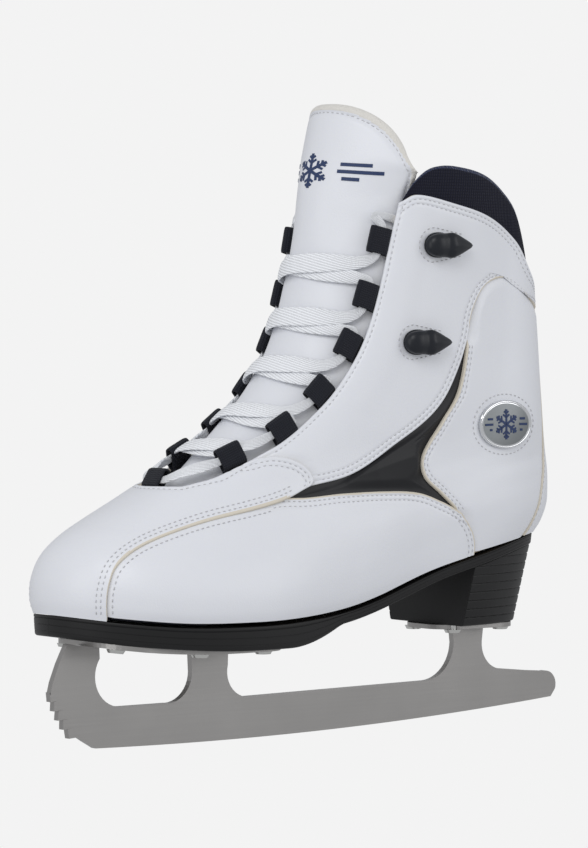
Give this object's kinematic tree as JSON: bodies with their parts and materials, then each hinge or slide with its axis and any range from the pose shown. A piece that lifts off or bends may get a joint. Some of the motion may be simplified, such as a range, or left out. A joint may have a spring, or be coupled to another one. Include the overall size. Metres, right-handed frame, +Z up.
{
  "type": "figure skate",
  "caption": "Laced ankle-high white figure skate with a padded tongue and collar, heeled black sole and a steel runner with toe picks.",
  "frame": {"origin": "on the ice plane, in the runner's middle plane, halfway along the runner", "axes": "+X towards the toe, +Y towards the outer side of the left foot, +Z up"},
  "size_m": [0.2801, 0.0954, 0.2701],
  "materials": {
    "runner_steel": "satin ground steel",
    "zinc_screw": "bright zinc",
    "sole_black": "satin black with fine layer lines",
    "shank_steel": "plain spring steel",
    "stiffener_board": "pressed fibre board",
    "footbed_foam": "foam with a cloth cover",
    "white_leather": "smooth white synthetic leather",
    "tongue_white": "smooth white synthetic leather over foam",
    "insert_plastic": "dark satin moulded plastic",
    "lining_navy": "dark brushed cloth",
    "webbing_navy": "woven webbing",
    "lace_white": "flat woven lace",
    "aglet_clear": "clear plastic",
    "hook_plastic": "dark moulded plastic",
    "badge_silver": "satin silver with a polished rim"
  },
  "bodies": {
    "boot": {"runner": "runner_steel", "sole_plate": "runner_steel", "heel_plate": "runner_steel", "sole_plate_screws": "zinc_screw", "heel_plate_screws": "zinc_screw", "hook_rivets": "zinc_screw", "outsole": "sole_black", "heel_block": "sole_black", "shank": "shank_steel", "insole_board": "stiffener_board", "toe_puff": "stiffener_board", "heel_stiffener": "stiffener_board", "ankle_board_lateral": "stiffener_board", "ankle_board_medial": "stiffener_board", "footbed": "footbed_foam", "vamp": "white_leather", "side_panel_lateral": "white_leather", "side_panel_medial": "white_leather", "quarter_lateral": "white_leather", "quarter_medial": "white_leather", "counter_lateral": "white_leather", "counter_medial": "white_leather", "backstay": "white_leather", "tongue_lower": "tongue_white", "insert_lateral": "insert_plastic", "insert_medial": "insert_plastic", "lining_lateral": "lining_navy", "lining_medial": "lining_navy", "collar_pad": "lining_navy", "lace_loops_lateral": "webbing_navy", "lace_loops_medial": "webbing_navy", "lace_loop_centre": "webbing_navy", "lace": "lace_white", "lace_aglets": "aglet_clear", "hook_lateral_upper": "hook_plastic", "hook_lateral_lower": "hook_plastic", "hook_medial_upper": "hook_plastic", "hook_medial_lower": "hook_plastic", "badge_lateral": "badge_silver", "badge_medial": "badge_silver"},
    "tongue_top": {"tongue_upper": "tongue_white"}
  },
  "joints": [
    {"name": "tongue_flex", "type": "hinge", "parent": "boot", "child": "tongue_top", "pos_m": [0.0035, 0, 0.2252], "axis": [0, 1, 0], "range_deg": [0, 40], "stiffness_Nm_per_rad": 0.4}
  ]
}
